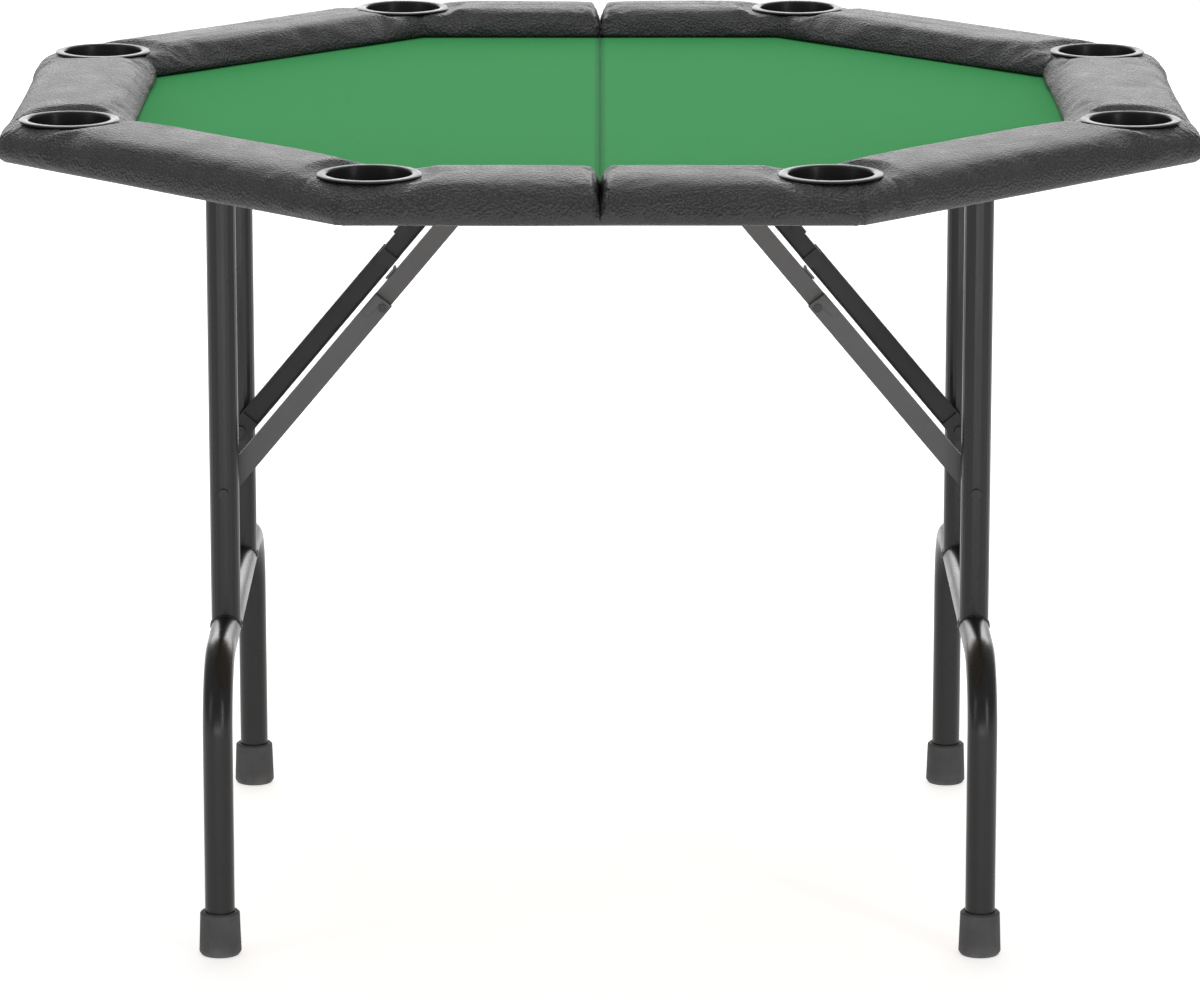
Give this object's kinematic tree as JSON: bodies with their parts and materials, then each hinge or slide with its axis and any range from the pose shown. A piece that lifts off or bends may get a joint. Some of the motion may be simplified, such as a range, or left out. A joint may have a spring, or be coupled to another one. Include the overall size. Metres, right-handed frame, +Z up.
{
  "type": "poker table",
  "caption": "Octagonal folding poker table: felt top in a padded rail with corner cup holders, hinged in halves, on two folding tube leg units with jointed braces.",
  "frame": {"origin": "on the floor under the middle of the top", "axes": "+Z up; the seam between the halves runs along Y, and the leg units stand at -X and +X"},
  "size_m": [1.08, 1.08, 0.75],
  "materials": {
    "felt": "matt green felt",
    "leatherette": "black grained leatherette, semi-matt",
    "board": "raw medium-density fibreboard",
    "powder_coat": "dark grey powder coat, satin",
    "release": "dark grey powder coat, satin",
    "fastener": "dark zinc-plated steel",
    "hinge": "zinc-plated steel",
    "cup": "black plastic, satin",
    "rubber": "dark grey rubber, matt"
  },
  "bodies": {
    "left_half": {"left_board": "board", "left_felt": "felt", "left_rail": "leatherette", "left_cup_1": "cup", "left_cup_2": "cup", "left_cup_3": "cup", "left_cup_4": "cup", "left_front_leg_bracket": "powder_coat", "left_front_brace_bracket": "powder_coat", "left_rear_leg_bracket": "powder_coat", "left_rear_brace_bracket": "powder_coat", "front_hinge_leaf_left": "hinge", "front_hinge_pin": "hinge", "rear_hinge_leaf_left": "hinge", "rear_hinge_pin": "hinge"},
    "right_half": {"right_board": "board", "right_felt": "felt", "right_rail": "leatherette", "right_cup_1": "cup", "right_cup_2": "cup", "right_cup_3": "cup", "right_cup_4": "cup", "right_front_leg_bracket": "powder_coat", "right_front_brace_bracket": "powder_coat", "right_rear_leg_bracket": "powder_coat", "right_rear_brace_bracket": "powder_coat", "front_hinge_leaf_right": "hinge", "rear_hinge_leaf_right": "hinge"},
    "left_leg": {"left_leg_frame": "powder_coat", "left_pivot_tube": "powder_coat", "left_front_upright": "powder_coat", "left_front_foot": "rubber", "left_front_brace_bolt": "fastener", "left_rear_upright": "powder_coat", "left_rear_foot": "rubber", "left_rear_brace_bolt": "fastener"},
    "right_leg": {"right_leg_frame": "powder_coat", "right_pivot_tube": "powder_coat", "right_front_upright": "powder_coat", "right_front_foot": "rubber", "right_front_brace_bolt": "fastener", "right_rear_upright": "powder_coat", "right_rear_foot": "rubber", "right_rear_brace_bolt": "fastener"},
    "left_front_upper_link": {"left_front_upper_link": "powder_coat"},
    "left_front_lower_link": {"left_front_lower_link": "powder_coat", "left_front_knee_rivet": "fastener"},
    "left_front_brace_release": {"left_front_brace_release": "release"},
    "left_rear_upper_link": {"left_rear_upper_link": "powder_coat"},
    "left_rear_lower_link": {"left_rear_lower_link": "powder_coat", "left_rear_knee_rivet": "fastener"},
    "left_rear_brace_release": {"left_rear_brace_release": "release"},
    "right_front_upper_link": {"right_front_upper_link": "powder_coat"},
    "right_front_lower_link": {"right_front_lower_link": "powder_coat", "right_front_knee_rivet": "fastener"},
    "right_front_brace_release": {"right_front_brace_release": "release"},
    "right_rear_upper_link": {"right_rear_upper_link": "powder_coat"},
    "right_rear_lower_link": {"right_rear_lower_link": "powder_coat", "right_rear_knee_rivet": "fastener"},
    "right_rear_brace_release": {"right_rear_brace_release": "release"}
  },
  "joints": [
    {"name": "table_fold", "type": "hinge", "parent": "left_half", "child": "right_half", "pos_m": [0, 0, 0.7105], "axis": [0, -1, 0], "range_deg": [-45, 0]},
    {"name": "left_leg_fold", "type": "hinge", "parent": "left_half", "child": "left_leg", "pos_m": [-0.344, 0, 0.6975], "axis": [0, -1, 0], "range_deg": [0, 84]},
    {"name": "left_front_upper_link_turn", "type": "hinge", "parent": "left_half", "child": "left_front_upper_link", "pos_m": [-0.09051, 0, 0.6975], "axis": [0, 1, 0], "range_deg": [0, 48.67]},
    {"name": "left_front_lower_link_turn", "type": "hinge", "parent": "left_leg", "child": "left_front_lower_link", "pos_m": [-0.344, 0, 0.395], "axis": [0, -1, 0], "range_deg": [0, 38.86]},
    {"name": "left_front_release_press", "type": "hinge", "parent": "left_front_upper_link", "child": "left_front_brace_release", "pos_m": [-0.18724, 0, 0.59873], "axis": [0, 1, 0], "range_deg": [0, 10], "stiffness_Nm_per_rad": 0.05, "springref_deg": -5.73},
    {"name": "left_rear_upper_link_turn", "type": "hinge", "parent": "left_half", "child": "left_rear_upper_link", "pos_m": [-0.09051, 0, 0.6975], "axis": [0, 1, 0], "range_deg": [0, 48.67]},
    {"name": "left_rear_lower_link_turn", "type": "hinge", "parent": "left_leg", "child": "left_rear_lower_link", "pos_m": [-0.344, 0, 0.395], "axis": [0, -1, 0], "range_deg": [0, 38.86]},
    {"name": "left_rear_release_press", "type": "hinge", "parent": "left_rear_upper_link", "child": "left_rear_brace_release", "pos_m": [-0.18724, 0, 0.59873], "axis": [0, 1, 0], "range_deg": [0, 10], "stiffness_Nm_per_rad": 0.05, "springref_deg": -5.73},
    {"name": "right_leg_fold", "type": "hinge", "parent": "right_half", "child": "right_leg", "pos_m": [0.344, 0, 0.6975], "axis": [0, 1, 0], "range_deg": [0, 73]},
    {"name": "right_front_upper_link_turn", "type": "hinge", "parent": "right_half", "child": "right_front_upper_link", "pos_m": [0.09051, 0, 0.6975], "axis": [0, -1, 0], "range_deg": [0, 46.1]},
    {"name": "right_front_lower_link_turn", "type": "hinge", "parent": "right_leg", "child": "right_front_lower_link", "pos_m": [0.344, 0, 0.395], "axis": [0, 1, 0], "range_deg": [0, 36.79]},
    {"name": "right_front_release_press", "type": "hinge", "parent": "right_front_upper_link", "child": "right_front_brace_release", "pos_m": [0.18724, 0, 0.59873], "axis": [0, -1, 0], "range_deg": [0, 10], "stiffness_Nm_per_rad": 0.05, "springref_deg": -5.73},
    {"name": "right_rear_upper_link_turn", "type": "hinge", "parent": "right_half", "child": "right_rear_upper_link", "pos_m": [0.09051, 0, 0.6975], "axis": [0, -1, 0], "range_deg": [0, 46.1]},
    {"name": "right_rear_lower_link_turn", "type": "hinge", "parent": "right_leg", "child": "right_rear_lower_link", "pos_m": [0.344, 0, 0.395], "axis": [0, 1, 0], "range_deg": [0, 36.79]},
    {"name": "right_rear_release_press", "type": "hinge", "parent": "right_rear_upper_link", "child": "right_rear_brace_release", "pos_m": [0.18724, 0, 0.59873], "axis": [0, -1, 0], "range_deg": [0, 10], "stiffness_Nm_per_rad": 0.05, "springref_deg": -5.73}
  ],
  "couplings": [
    {"joint": "left_front_upper_link_turn", "follows": "left_leg_fold", "ratio": 0.57929},
    {"joint": "left_front_lower_link_turn", "follows": "left_leg_fold", "ratio": 0.46251},
    {"joint": "left_rear_upper_link_turn", "follows": "left_leg_fold", "ratio": 0.57929},
    {"joint": "left_rear_lower_link_turn", "follows": "left_leg_fold", "ratio": 0.46251},
    {"joint": "right_front_upper_link_turn", "follows": "right_leg_fold", "ratio": 0.6314},
    {"joint": "right_front_lower_link_turn", "follows": "right_leg_fold", "ratio": 0.50378},
    {"joint": "right_rear_upper_link_turn", "follows": "right_leg_fold", "ratio": 0.6314},
    {"joint": "right_rear_lower_link_turn", "follows": "right_leg_fold", "ratio": 0.50378}
  ]
}
